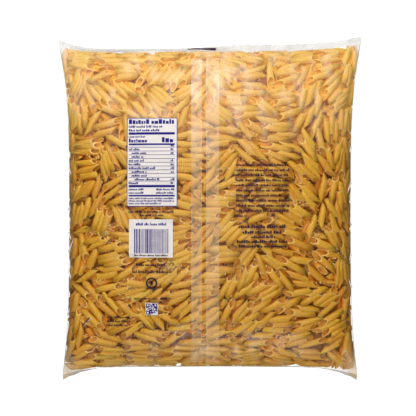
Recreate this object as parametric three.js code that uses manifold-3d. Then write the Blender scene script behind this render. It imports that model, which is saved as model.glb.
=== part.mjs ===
// A large clear pillow bag of dry penne pasta, lying on its front with the back seam up.
// Sizes are in millimetres and +Z is up. +Y runs to the top seal and +X to the right of the printed back.
// The origin is on the floor, under the middle of the bag.

import * as THREE from "three";
import { mergeVertices } from "three/addons/utils/BufferGeometryUtils.js";
import Module from "manifold-3d";

// The filled bag. The penne in relief stand proud of its skin, within its thickness.
const HALF_WIDTH = 191; // middle to side fold, half way along the bag
const HALF_LENGTH = 214; // middle to the root of an end seal
const THICKNESS = 94;
const SIDE_HEIGHT = 37; // floor to the side fold
const SEAL_HEIGHT = 34; // floor to the root of an end seal
const TOP_FLARE = 13.5; // how much wider the bag is at its top seal than half way along, on each side
const BOTTOM_FLARE = 8;
const FLARE_POWER = 3.7;
const CROSS_POWER = 2.9; // how full the bag's back is from side to side
const LENGTH_POWER = 2.5; // and from seal to seal
const BASE_POWER = 7; // how far the flat base reaches
const BASE_PRESS = 6; // how far the base would sink if the floor did not flatten it
const SWELL = 1.4; // slow unevenness of the back
const SWELL_ACROSS = 31; // the lengths over which it comes and goes
const SWELL_ALONG = 43;

// The end seals: flat fins whose corners stand out as ears
const FILM_EDGE = 0.8; // thickness of a fin and of the side fold
const FIN_DEPTH = 12;
const EAR_REACH = 10; // how far a corner's root stands beyond the middle of the seal
const EAR_LIFT = 6;
const EAR_FADE = 4; // how quickly the ear dies away towards the middle of the bag
const TOP_LEFT_EAR_POWER = 9; // higher is a narrower ear
const EAR_POWER = 6;
const TOP_FIN_DROOP = THREE.MathUtils.degToRad(62); // below the horizontal, half way along the seal
const BOTTOM_FIN_DROOP = THREE.MathUtils.degToRad(88);
const EAR_DROOP = THREE.MathUtils.degToRad(46);
const SEAL_WAVE = 1.6; // how far a seal waves up and down
const SEAL_WAVES = 7.3;
const TOP_SEAL_SLANT = 2; // how much further out the top seal is at its right end than in the middle

// The back seam, a flat band
const SEAM_LEFT = -23;
const SEAM_RIGHT = 14;
const SEAM_PROUD = 0.5;
const SEAM_ROOT = 3; // how far the band reaches into the bag, to fuse with it
const SEAM_ACROSS = 4;

// The penne that press against the film
const PENNE_RADIUS = 4.75;
const PENNE_LENGTH = 43; // tip to tip
const PENNE_SIDES = 6;
const PENNE_PROUD = 2.2;
const PENNE_GAP = 9; // closest that the middle lines of two penne may come
const PENNE_COUNT = 190;
const PENNE_TRIES = 9000;
const PENNE_REACH = 0.9; // share of the half width and half length that holds the middles of the penne
const TIP_REACH = 0.97; // and their tips
const PENNE_SPREAD = 0.55; // unevenness of their direction, in radians
const SIDE_TURN = 0.9; // how far the penne turn upright towards the sides, in radians
const GRAIN_TURN = 0.4; // and from sheaf to sheaf
const SEED = 20;

// The mesh of the bag
const ACROSS = 26;
const ALONG = 30;
const FIN_ROWS = 1;
const MERGE = 1e-3;

// Falls from 1 in the middle to 0 at the edge, upright at the edge.
function crown(t, power) {
  return Math.sqrt(Math.max(0, 1 - Math.abs(t) ** power));
}

function halfWidth(v) {
  const flare = v > 0 ? TOP_FLARE : BOTTOM_FLARE;
  return HALF_WIDTH + flare * Math.min(1, Math.abs(v)) ** FLARE_POWER;
}

// 0 half way along an end seal and 1 at its corners.
function earShare(s, v) {
  const power = v > 0 && s < 0 ? TOP_LEFT_EAR_POWER : EAR_POWER;
  return Math.abs(s) ** power;
}

// Height of the line where the bag's back and front meet, round the sides and along the seals.
function edgeHeight(s, v) {
  const end = Math.abs(v) ** EAR_FADE;
  const wave = SEAL_WAVE * Math.sin(SEAL_WAVES * s + 2 * v) * crown(s, 8);
  return (
    SIDE_HEIGHT +
    (SEAL_HEIGHT - SIDE_HEIGHT) * end +
    (EAR_LIFT * earShare(s, v) + wave) * end
  );
}

function swell(x, y) {
  const across = x / SWELL_ACROSS;
  const along = y / SWELL_ALONG;
  const waves =
    Math.sin(across) * Math.sin(along + 2) + Math.sin(across / 2 - along);
  return (SWELL / 2) * waves;
}

// A point of the bag's skin. s runs from -1 at the left fold to 1 at the right one, and v from -1 at the
// root of the bottom seal to 1 at the root of the top one. The back is up, and the base is on the floor.
function skin(s, v, isBack) {
  const x = s * halfWidth(v);
  const end = Math.abs(v) ** EAR_FADE;
  const slant = v > 0 ? TOP_SEAL_SLANT * s * end : 0;
  const y =
    v * HALF_LENGTH + Math.sign(v) * EAR_REACH * earShare(s, v) * end + slant;
  const edge = edgeHeight(s, v);
  if (isBack) {
    const fullness = crown(s, CROSS_POWER) * crown(v, LENGTH_POWER);
    const rise = THICKNESS - SWELL - PENNE_PROUD - edge + swell(x, y);
    return new THREE.Vector3(x, y, edge + FILM_EDGE / 2 + rise * fullness);
  }
  const fullness = crown(s, BASE_POWER) * crown(v, BASE_POWER);
  const fall = (edge + BASE_PRESS) * fullness;
  return new THREE.Vector3(x, y, Math.max(0, edge - FILM_EDGE / 2 - fall));
}

// A point of an end seal's fin, at a distance out from its root. end is 1 for the top seal and -1 for the
// bottom one.
function fin(s, end, distance, isBack) {
  const root = skin(s, end, isBack);
  const middle = end > 0 ? TOP_FIN_DROOP : BOTTOM_FIN_DROOP;
  const droop = THREE.MathUtils.lerp(middle, EAR_DROOP, earShare(s, end));
  root.y += end * distance * Math.cos(droop);
  root.z -= distance * Math.sin(droop);
  return root;
}

// Spaces the mesh's rows closely where the skin curves most.
function eased(t) {
  return Math.sin((Math.PI / 2) * t);
}

// The bag's skin and both fins, as one closed box bent into shape.
function bodyGeometry() {
  const rows = ALONG + 2 * FIN_ROWS;
  const geometry = new THREE.BoxGeometry(2, 2, 2, ACROSS, rows, 1);
  const position = geometry.getAttribute("position");
  for (let i = 0; i < position.count; i++) {
    const s = eased(position.getX(i));
    const row = Math.round(((position.getY(i) + 1) / 2) * rows) - rows / 2;
    const isBack = position.getZ(i) > 0;
    const beyond = Math.abs(row) - ALONG / 2;
    const point =
      beyond > 0
        ? fin(s, Math.sign(row), (beyond / FIN_ROWS) * FIN_DEPTH, isBack)
        : skin(s, eased(row / (ALONG / 2)), isBack);
    position.setXYZ(i, point.x, point.y, point.z);
  }
  return geometry;
}

// The back seam, from one end seal to the other.
function seamGeometry() {
  const width = SEAM_RIGHT - SEAM_LEFT;
  const geometry = new THREE.BoxGeometry(width, 2, 2, SEAM_ACROSS, ALONG, 1);
  const position = geometry.getAttribute("position");
  const last = eased(1 - 1 / ALONG);
  for (let i = 0; i < position.count; i++) {
    const x = position.getX(i) + (SEAM_LEFT + SEAM_RIGHT) / 2;
    const v = Math.min(last, Math.max(-last, eased(position.getY(i))));
    const point = skin(x / halfWidth(v), v, true);
    const offset = position.getZ(i) > 0 ? SEAM_PROUD : -SEAM_ROOT;
    position.setXYZ(i, point.x, point.y, point.z + offset);
  }
  return geometry;
}

// A tube's outline with both ends cut on the same slant, lying along X.
function penneGeometry() {
  const geometry = new THREE.CylinderGeometry(
    PENNE_RADIUS,
    PENNE_RADIUS,
    PENNE_LENGTH - 2 * PENNE_RADIUS,
    PENNE_SIDES,
  );
  geometry.rotateY(Math.PI / PENNE_SIDES);
  geometry.rotateZ(Math.PI / 2);
  const position = geometry.getAttribute("position");
  for (let i = 0; i < position.count; i++)
    position.setX(i, position.getX(i) + position.getY(i));
  return geometry;
}

// The same run of numbers from 0 to 1 each time.
function seededRandom(seed) {
  const range = 2 ** 32;
  let state = seed;
  return () => {
    state = (state * 1664525 + 1013904223) % range;
    return state / range;
  };
}

// The way the penne lie at a point of the back: sheaves that turn slowly across the bag.
function grain(s, v) {
  return SIDE_TURN * s * Math.abs(s) + GRAIN_TURN * (Math.sin(3 * s + 1) - v);
}

// The least distance between the middle lines of two penne, to within a millimetre or so.
function middleGap(a, b) {
  const steps = [-1, -0.5, 0, 0.5, 1];
  let least = Infinity;
  for (const i of steps)
    for (const j of steps) {
      const p = a.middle.clone().addScaledVector(a.half, i);
      const q = b.middle.clone().addScaledVector(b.half, j);
      least = Math.min(least, p.distanceTo(q));
    }
  return least;
}

// Where the pressed penne lie, drawn at random and kept where they clear each other.
function penneLayout() {
  const random = seededRandom(SEED);
  const kept = [];
  const reach = PENNE_LENGTH / 2;
  for (let i = 0; i < PENNE_TRIES && kept.length < PENNE_COUNT; i++) {
    const s = PENNE_REACH * (2 * random() - 1);
    const v = PENNE_REACH * (2 * random() - 1);
    const turn = grain(s, v) + PENNE_SPREAD * (2 * random() - 1);
    const roll = random() < 0.5 ? 0 : Math.PI;
    const ds = (reach * Math.cos(turn)) / halfWidth(v);
    const dv = (reach * Math.sin(turn)) / HALF_LENGTH;
    const tip = Math.max(
      Math.abs(s) + Math.abs(ds),
      Math.abs(v) + Math.abs(dv),
    );
    if (tip > TIP_REACH) continue;
    const from = skin(s - ds, v - dv, true);
    const to = skin(s + ds, v + dv, true);
    const piece = {
      middle: from.clone().add(to).multiplyScalar(0.5),
      half: to.clone().sub(from).multiplyScalar(0.5),
      roll,
    };
    if (kept.every((other) => middleGap(piece, other) > PENNE_GAP))
      kept.push(piece);
  }
  return kept;
}

// Lays one of the penne in place, sunk in the skin so that only its back stands proud.
function penneMatrix({ middle, half, roll }) {
  const along = half.clone().normalize();
  const side = new THREE.Vector3(0, 0, 1).cross(along).normalize();
  const up = along.clone().cross(side);
  const matrix = new THREE.Matrix4().makeBasis(along, side, up);
  matrix.multiply(new THREE.Matrix4().makeRotationX(roll));
  const centre = middle.clone().addScaledVector(up, PENNE_PROUD - PENNE_RADIUS);
  return matrix.setPosition(centre);
}

const wasm = await Module();
wasm.setup();

function toSolid(geometry) {
  const bare = geometry.clone();
  bare.deleteAttribute("normal");
  bare.deleteAttribute("uv");
  const merged = mergeVertices(bare, MERGE);
  return new wasm.Manifold(
    new wasm.Mesh({
      numProp: 3,
      vertProperties: new Float32Array(merged.getAttribute("position").array),
      triVerts: new Uint32Array(merged.index.array),
    }),
  );
}

function toGeometry(solid) {
  const mesh = solid.getMesh();
  const geometry = new THREE.BufferGeometry();
  geometry.setAttribute(
    "position",
    new THREE.BufferAttribute(mesh.vertProperties, 3),
  );
  geometry.setIndex(new THREE.BufferAttribute(mesh.triVerts, 1));
  geometry.computeVertexNormals();
  return geometry;
}

function bagGeometry() {
  const penne = penneGeometry();
  const pieces = penneLayout().map((piece) =>
    toSolid(penne.clone().applyMatrix4(penneMatrix(piece))),
  );
  const solid = pieces.reduce(
    (whole, piece) => whole.add(piece),
    toSolid(bodyGeometry()).add(toSolid(seamGeometry())),
  );
  const geometry = toGeometry(solid);
  geometry.computeBoundingBox();
  const centre = geometry.boundingBox.getCenter(new THREE.Vector3());
  return geometry.translate(-centre.x, -centre.y, 0);
}

const pastaBag = new THREE.Mesh(
  bagGeometry(),
  new THREE.MeshStandardMaterial({
    color: 0xd9a441,
    roughness: 0.35,
    metalness: 0,
  }),
);
pastaBag.name = "pasta_bag";

const packet = new THREE.Group();
packet.add(pastaBag);

export default packet;
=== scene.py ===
"""A large clear pillow bag of dry penne, lying on its front with its printed back up.

Lengths are in metres, in the frame's own axes: +X is to the right of the printed back, +Y runs to the top
seal and +Z is up. The heap of penne, the film over it, the seam and the print are worked out from a few
sizes.
"""

import sys

import logging
import math
from dataclasses import dataclass, field, replace
from enum import Enum
from typing import Iterable, Optional, Sequence, Union

import bmesh
import bpy
import numpy as np
from mathutils import Matrix, Vector
from mathutils.bvhtree import BVHTree


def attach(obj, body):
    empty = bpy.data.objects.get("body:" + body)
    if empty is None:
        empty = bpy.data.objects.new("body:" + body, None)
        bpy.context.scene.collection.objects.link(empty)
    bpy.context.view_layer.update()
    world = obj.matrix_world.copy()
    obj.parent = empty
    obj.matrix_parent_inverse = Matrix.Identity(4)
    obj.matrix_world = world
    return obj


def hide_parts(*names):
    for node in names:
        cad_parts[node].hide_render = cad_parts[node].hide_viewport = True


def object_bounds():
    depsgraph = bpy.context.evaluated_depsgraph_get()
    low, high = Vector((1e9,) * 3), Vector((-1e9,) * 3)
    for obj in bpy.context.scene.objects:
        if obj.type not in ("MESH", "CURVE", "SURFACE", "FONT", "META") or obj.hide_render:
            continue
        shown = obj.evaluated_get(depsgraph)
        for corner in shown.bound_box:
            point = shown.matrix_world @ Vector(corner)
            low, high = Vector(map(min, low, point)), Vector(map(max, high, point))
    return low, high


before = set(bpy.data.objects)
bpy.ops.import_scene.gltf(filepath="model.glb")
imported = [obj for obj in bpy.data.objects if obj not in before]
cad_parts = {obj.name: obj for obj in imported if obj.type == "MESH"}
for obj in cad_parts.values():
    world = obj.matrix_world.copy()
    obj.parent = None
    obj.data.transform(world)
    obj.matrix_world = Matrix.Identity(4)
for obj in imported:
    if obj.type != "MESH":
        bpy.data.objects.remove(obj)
CAD_BOX = [list(corner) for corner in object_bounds()]

MM = 0.001
BODY = "root"
BAG_NODE = "pasta_bag"
LOG = logging.getLogger("pasta_packet")

# Above everything, where a ray that looks for the film or the penne starts
SKY = 0.2
# The longest cell of a slab that is laid on the film, in millimetres
CELL = 2.4
# The Mix node's sockets for colours
MIX_ENDS, MIX_RESULT = (6, 7), 2
BLACK, WHITE = (0.0, 0.0, 0.0), (1.0, 1.0, 1.0, 1.0)

Array = np.ndarray
Mesh, Material = bpy.types.Mesh, bpy.types.Material
BMesh = bmesh.types.BMesh
Value = Union[float, tuple, "Term"]


class Slot(Enum):
    """Material slot names."""

    FILM = "film"
    PASTA = "pasta"
    WHITE = "print_white"
    DARK = "print_dark"


class Term:
    """A shader socket that Python's operators work on."""

    def __init__(self, net: "Net", socket: bpy.types.NodeSocket) -> None:
        """Wraps an output socket of a node tree."""
        self.net = net
        self.socket = socket

    def _join(self, operation: str, *values: Value) -> "Term":
        """Adds one Math node, whose inputs are the values or links."""
        return self.net.node("ShaderNodeMath", {"operation": operation}, dict(enumerate(values)))

    def __add__(self, other: Value) -> "Term":
        """Adds."""
        return self._join("ADD", self, other)

    def __sub__(self, other: Value) -> "Term":
        """Subtracts."""
        return self._join("SUBTRACT", self, other)

    def __rsub__(self, other: Value) -> "Term":
        """Subtracts from a value."""
        return self._join("SUBTRACT", other, self)

    def __mul__(self, other: Value) -> "Term":
        """Multiplies."""
        return self._join("MULTIPLY", self, other)

    __radd__ = __add__
    __rmul__ = __mul__

    def sine(self) -> "Term":
        """Takes the sine of an angle in radians."""
        return self._join("SINE", self)

    def rise(self, low: float, high: float) -> "Term":
        """Goes smoothly from 0 at the low value to 1 at the high one."""
        inputs = {"Value": self, "From Min": low, "From Max": high}
        return self.net.node("ShaderNodeMapRange", {"interpolation_type": "SMOOTHSTEP"}, inputs)


class Net:
    """The node tree of one finish."""

    def __init__(self, name: str) -> None:
        """Makes an empty material.

        Args:
            name: The material's name.
        """
        self.material = bpy.data.materials.new(name)
        self.material.use_nodes = True
        self.tree = self.material.node_tree
        self.tree.nodes.clear()

    def node(
        self,
        kind: str,
        settings: Optional[dict] = None,
        inputs: Optional[dict] = None,
        output: Union[int, str] = 0,
    ) -> Term:
        """Adds a node.

        Args:
            kind: The node's type.
            settings: Its own settings, set first.
            inputs: Values or links of its sockets, by name or number.
            output: Which of its outputs is used.

        Returns:
            The chosen output.
        """
        made = self.tree.nodes.new(kind)
        for name, value in (settings or {}).items():
            setattr(made, name, value)
        for key, value in (inputs or {}).items():
            if isinstance(value, Term):
                self.tree.links.new(value.socket, made.inputs[key])
            else:
                made.inputs[key].default_value = value
        return Term(self, made.outputs[output])

    def mix(self, factor: Value, *ends: Value) -> Term:
        """Mixes two colours or links: all the first at a factor of 0, and all the second at 1."""
        colours = {key: c if isinstance(c, Term) else (*c, 1.0) for key, c in zip(MIX_ENDS, ends)}
        return self.node("ShaderNodeMix", {"data_type": "RGBA"}, {0: factor, **colours}, MIX_RESULT)

    def place(self) -> Term:
        """The piece's own coordinates."""
        return self.node("ShaderNodeTexCoord", output="Object")

    def mark(self, name: str) -> Term:
        """A named number of the mesh."""
        return self.node("ShaderNodeAttribute", {"attribute_name": name}, output="Fac")

    def noise(self, where: Term, scale: float, detail: float = 3.0) -> Term:
        """Cloudy noise from 0 to 1, with so many lumps to a unit and so many finer layers."""
        return self.node("ShaderNodeTexNoise", None, {"Vector": where, "Scale": scale, "Detail": detail})

    def stretch(self, where: Term, scale: tuple) -> Term:
        """Scales coordinates along each axis."""
        return self.node("ShaderNodeMapping", None, {"Vector": where, "Scale": scale})

    def bump(self, height: Term, distance: float, strength: float) -> Term:
        """Turns a height from 0 to 1, which is so many metres deep, into a bumpy normal."""
        inputs = {"Height": height, "Distance": distance, "Strength": strength}
        return self.node("ShaderNodeBump", None, inputs)

    def close(self, shader: Term) -> Material:
        """Joins the shader to the material's output.

        Args:
            shader: The finished shader.

        Returns:
            The material.
        """
        end = self.tree.nodes.new("ShaderNodeOutputMaterial")
        self.tree.links.new(shader.socket, end.inputs["Surface"])
        return self.material

    def solid(self, inputs: dict) -> Material:
        """Finishes a material that is one Principled shader."""
        return self.close(self.node("ShaderNodeBsdfPrincipled", None, inputs))


@dataclass(frozen=True)
class PastaFinish:
    """Dry pasta: amber, lined and floury, with pale rims and bores painted darker as shade. Painted light
    makes it lighter and glow a little near the bag's top; painted shade darkens it deeper under the film and
    browns it along its sides."""

    name: str = "dry_pasta"
    dark: tuple = (0.64, 0.278, 0.006)
    light: tuple = (0.81, 0.462, 0.034)
    # pale: the flour pattern's paler colour, and painted light that lightens the pasta towards the bag's top
    pale: tuple = (0.87, 0.63, 0.19)
    # shade: painted shade for pasta deep under the film; warm: that painted shade made lighter near the bag's
    # top
    shade: tuple = (0.82, 0.275, 0.004)
    warm: tuple = (0.86, 0.45, 0.03)
    rim: tuple = (0.95, 0.64, 0.19)
    # bore: painted shade inside the tubes
    bore: tuple = (0.78, 0.35, 0.016)
    # through and the strength below: a painted glow near the bag's top, which stands in for light coming
    # through the pasta
    through: tuple = (1.0, 0.62, 0.02)
    painted_glow: float = 0.13
    # shadow: painted shade along the bag's sides
    shadow: tuple = (0.36, 0.16, 0.01)
    roughness: float = 0.45
    glow_depth: float = 2.2 * MM
    relief: float = 0.6 * MM

    def make(self) -> Material:
        """Builds the material.

        Returns:
            The material.
        """
        net = Net(self.name)
        place = net.place()
        along = net.node("ShaderNodeUVMap", {"uv_map": "UVMap"})
        lines = net.noise(net.stretch(along, (0.8, 26.0, 1.0)), 1.0, 2.0)
        cloud = net.noise(place, 90.0)
        grit = net.noise(place, 800.0, 2.0)
        knobs = net.noise(place, 240.0, 2.0)
        # Masks of painted light and shade: the first lightens the pasta towards the bag's top, the second
        # shades it deeper under the film
        painted_top_light, deep = net.mark("painted_top_light"), net.mark("deep")
        tone = net.mark("tint") * 0.7 + cloud * 0.15 + (lines - 0.5) * 0.9 + (grit - 0.5) * 0.8 + 0.07
        flour = (lines * 0.5 + grit * 0.5).rise(0.52, 0.66)
        # Painted light: the pasta is lighter towards the bag's top; it is also paler on the flour pattern
        colour = net.mix(painted_top_light * 0.3 + flour * 0.35, net.mix(tone, self.dark, self.light), self.pale)
        # Painted shade: deeper under the film the pasta is darker and redder, and near the bag's top this
        # painted shade is painted lighter and warmer
        colour = net.mix(deep * 0.85, colour, net.mix(painted_top_light, self.shade, self.warm))
        # The pale rims are the cut ends' own tone; the bores and the bag's sides get painted shade
        rim_tone_and_painted_shades = (("bore", 0.8, self.bore), ("rim", 0.55, self.rim), ("edge", 0.8, self.shadow))
        for mark, share, overlay_colour in rim_tone_and_painted_shades:
            colour = net.mix(net.mark(mark) * share, colour, overlay_colour)
        return net.solid(
            {
                "Base Color": colour,
                "Roughness": self.roughness + (cloud - 0.5) * 0.2,
                "Specular IOR Level": 0.4,
                "Subsurface Weight": 0.5,
                "Subsurface Radius": (1.0, 0.6, 0.3),
                "Subsurface Scale": self.glow_depth,
                # Painted light: a faint glow near the bag's top, stronger deeper down
                "Emission Color": net.mix(painted_top_light * (0.45 + deep * 0.55), BLACK, self.through),
                "Emission Strength": self.painted_glow,
                "Normal": net.bump(lines * 0.5 + grit * 0.3 + knobs * 0.7, self.relief, 0.6),
            }
        )


@dataclass(frozen=True)
class CoreFinish:
    """Painted shade: the dark colour of the core, which ends the view between the penne."""

    name: str = "painted_shade_pasta"
    dark: tuple = (0.44, 0.165, 0.03)
    light: tuple = (0.62, 0.28, 0.05)

    def make(self) -> Material:
        """Builds the material.

        Returns:
            The material.
        """
        net = Net(self.name)
        colour = net.mix(net.noise(net.place(), 90.0), self.dark, self.light)
        return net.solid({"Base Color": colour, "Roughness": 0.8})


@dataclass(frozen=True)
class FilmFinish:
    """Clear film: crinkled, shiny and specked, hazy where slack with a painted warm glare in that haze, and
    milky and ribbed on its end seals.
    """

    name: str = "clear_film"
    tone: tuple = (0.97, 0.96, 0.94)
    sealed: tuple = (0.68, 0.66, 0.63)
    corner: tuple = (0.80, 0.60, 0.36)
    # The next two: painted warm glare, the tints that the slack film's haze takes at the top and in the lower
    # half
    painted_glare: tuple = (1.0, 0.90, 0.74)
    painted_low_glare: tuple = (1.0, 0.80, 0.42)
    through: tuple = (0.99, 0.985, 0.975, 1.0)
    haze: float = 0.011
    slack_haze: float = 0.15
    edge: float = 0.22
    milk: float = 0.36
    speck: float = 0.12
    gloss: float = 0.16
    metal: float = 0.9
    crinkle: float = 1.0
    crinkle_depth: float = 0.9 * MM
    rib_pitch: float = 1.5

    def make(self) -> Material:
        """Builds the material: a clear shader and a shining one, mixed by how much the film hides.

        Returns:
            The material.
        """
        net = Net(self.name)
        place = net.place()
        fine = net.noise(net.stretch(place, (1.0, 0.6, 1.0)), 330.0)
        broad = net.noise(net.stretch(place, (1.0, 0.35, 1.0)), 60.0)
        streaks = net.noise(net.stretch(place, (1.0, 0.3, 1.0)), 420.0, 2.0)
        streaks = streaks.rise(0.58, 0.72) * broad.rise(0.4, 0.6)
        slack, milky, warm = net.mark("slack"), net.mark("milk"), net.mark("warm")
        ribs = (net.mark("out") * (math.tau / self.rib_pitch)).sine() * milky
        facing = net.node("ShaderNodeLayerWeight", None, {"Blend": 0.5}, "Facing")
        # Partly real and partly painted: where the film is slack, most near the back's middle, it is hazier,
        # and that haze carries a painted warm glare
        loose = (slack + net.mark("cloud")) * (0.3 + broad.rise(0.42, 0.7) * 1.4)
        share = (0.4 + broad * 1.2) * self.haze + facing.rise(0.4, 0.95) * (1 - slack) * self.edge
        share = share + loose * self.slack_haze + milky * (self.milk + (broad - 0.5) * 0.3)
        share = share + warm * (0.2 + streaks * 0.4) + ribs * 0.07 + fine.rise(0.6, 0.78) * self.speck
        share = share + streaks * (slack * 0.16 + 0.04)
        # Painted glare: the slack film's haze is tinted warm, more so in the lower half
        tone = net.mix(slack, self.tone, net.mix(net.mark("low"), self.painted_glare, self.painted_low_glare))
        creases = fine * (0.3 * self.crinkle) + broad * self.crinkle + ribs * 0.2
        shine = net.node(
            "ShaderNodeBsdfPrincipled",
            None,
            {
                "Base Color": net.mix(warm, net.mix(milky, tone, self.sealed), self.corner),
                "Metallic": (1 - slack * 0.9) * (self.metal - milky * 0.5),
                "Roughness": self.gloss + milky * 0.15 + slack * 0.3 + (broad - 0.5) * 0.1,
                "Specular IOR Level": 0.12,
                "Normal": net.bump(creases, self.crinkle_depth, 0.5),
            },
        )
        clear = net.node("ShaderNodeBsdfTransparent", None, {"Color": self.through})
        return net.close(net.node("ShaderNodeMixShader", None, {0: share, 1: clear, 2: shine}))


@dataclass(frozen=True)
class InkFinish:
    """Print on the film, slightly uneven and a little glossy."""

    name: str
    colour: tuple
    worn: tuple
    cover: float = 1.0

    def make(self) -> Material:
        """Builds the material.

        Returns:
            The material.
        """
        net = Net(self.name)
        cloud = net.noise(net.place(), 220.0)
        return net.solid(
            {
                "Base Color": net.mix(cloud * 0.6, self.colour, self.worn),
                "Roughness": 0.45 + cloud * 0.1,
                "Specular IOR Level": 0.1,
                "Alpha": self.cover,
            }
        )


@dataclass(frozen=True)
class FloorFinish:
    """The plain pale floor."""

    name: str = "pale_floor"
    colour: tuple = (0.48, 0.48, 0.48)
    paler: tuple = (0.50, 0.50, 0.50)
    glow: float = 0.86

    def make(self) -> Material:
        """Builds the material.

        Returns:
            The material.
        """
        net = Net(self.name)
        return net.solid(
            {
                "Base Color": net.mix(net.noise(net.place(), 3.0), self.colour, self.paler),
                "Roughness": 0.7,
                "Specular IOR Level": 0.2,
                "Emission Color": WHITE,
                "Emission Strength": self.glow,
            }
        )


def crown(t: Array, power: float) -> Array:
    """Falls from 1 at 0 to 0 at -1 and 1, where it is upright. A higher power is fuller."""
    return np.sqrt(np.clip(1 - np.abs(t) ** power, 0, None))


def ramp(t: Array, start: float, length: float) -> Array:
    """Goes evenly from 0 at the start to 1 a length further on."""
    return np.clip((t - start) / length, 0, 1)


def unit(rows: Array, least: float = 1e-9) -> Array:
    """Makes rows of coordinates one long, where they aren't shorter than the least length."""
    return rows / np.maximum(np.linalg.norm(rows, axis=-1, keepdims=True), least)


def neighbours(laid: Array) -> tuple:
    """The values on the four sides of each cell of a table, whose edges repeat."""
    ring = np.pad(laid, 1, mode="edge")
    return ring[:-2, 1:-1], ring[2:, 1:-1], ring[1:-1, :-2], ring[1:-1, 2:]


def read(items: bpy.types.bpy_prop_collection, name: str, width: int = 1, kind: type = float) -> Array:
    """Reads one property of all the items.

    Args:
        items: A mesh's vertices, corners, faces or the like.
        name: The property.
        width: How many numbers it holds.
        kind: Their type.

    Returns:
        The numbers, in rows where an item holds more than one.
    """
    flat = np.empty(len(items) * width, kind)
    items.foreach_get(name, flat)
    return flat.reshape(-1, width) if width > 1 else flat


def mesh_of(box: BMesh, name: str, outward: bool = False) -> Mesh:
    """Turns a bmesh into a mesh, and frees it.

    Args:
        box: The bmesh.
        name: The mesh's name.
        outward: Whether its faces are turned to point out.

    Returns:
        The mesh.
    """
    if outward:
        bmesh.ops.recalc_face_normals(box, faces=box.faces)
    mesh = bpy.data.meshes.new(name)
    box.to_mesh(mesh)
    box.free()
    return mesh


def add_mark(mesh: Mesh, name: str, values: Array, domain: str = "POINT") -> None:
    """Gives each point or face of a mesh a named number, which finishes read."""
    made = mesh.attributes.new(name, "FLOAT", domain)
    made.data.foreach_set("value", values.astype(np.float32))


def add_piece(mesh: Mesh, material: Material) -> bpy.types.Object:
    """Makes a finished piece of the object from a mesh.

    Args:
        mesh: Its mesh, in place in the frame. The piece takes its name.
        material: Its finish.

    Returns:
        The piece, riding on the bag's body.
    """
    mesh.materials.append(material)
    piece = bpy.data.objects.new(mesh.name, mesh)
    bpy.context.scene.collection.objects.link(piece)
    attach(piece, BODY)
    triangles = sum(len(p.vertices) - 2 for p in mesh.polygons)
    points = read(mesh.vertices, "co", 3).round(4)
    LOG.info("%s: %d triangles, %s to %s", piece.name, triangles, points.min(0), points.max(0))
    return piece


def join_copies(name: str, shape: Mesh, places: Array) -> Mesh:
    """Joins copies of a mesh whose points are worked out as arrays.

    Args:
        name: The joined mesh's name.
        shape: The mesh that is copied.
        places: Coordinates, by copy and point.

    Returns:
        The joined mesh. Its edges are still to be worked out.
    """
    corner = read(shape.loops, "vertex_index", 1, np.int32)
    start = read(shape.polygons, "loop_start", 1, np.int32)
    count, points = places.shape[:2]
    number = np.arange(count, dtype=np.int32)[:, None]
    mesh = bpy.data.meshes.new(name)
    mesh.vertices.add(count * points)
    mesh.loops.add(count * len(corner))
    mesh.polygons.add(count * len(start))
    mesh.vertices.foreach_set("co", places.ravel())
    mesh.loops.foreach_set("vertex_index", (corner + number * points).ravel())
    mesh.polygons.foreach_set("loop_start", (start + number * len(corner)).ravel())
    return mesh


def once(items: Iterable) -> list:
    """Lists the items in the order that they first come in."""
    return list(dict.fromkeys(items))


def raise_slab(box: BMesh, faces: list) -> list:
    """Turns flat faces into a closed slab that reaches from -1 to 1.

    Args:
        box: The mesh that they are in.
        faces: The faces, which lie at 0.

    Returns:
        All the slab's vertices.
    """
    low = once(vertex for face in faces for vertex in face.verts)
    bmesh.ops.translate(box, verts=low, vec=(0.0, 0.0, -1.0))
    grown = bmesh.ops.extrude_face_region(box, geom=faces, use_keep_orig=True)["geom"]
    high = [item for item in grown if isinstance(item, bmesh.types.BMVert)]
    bmesh.ops.translate(box, verts=high, vec=(0.0, 0.0, 2.0))
    return [*low, *high]


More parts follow.
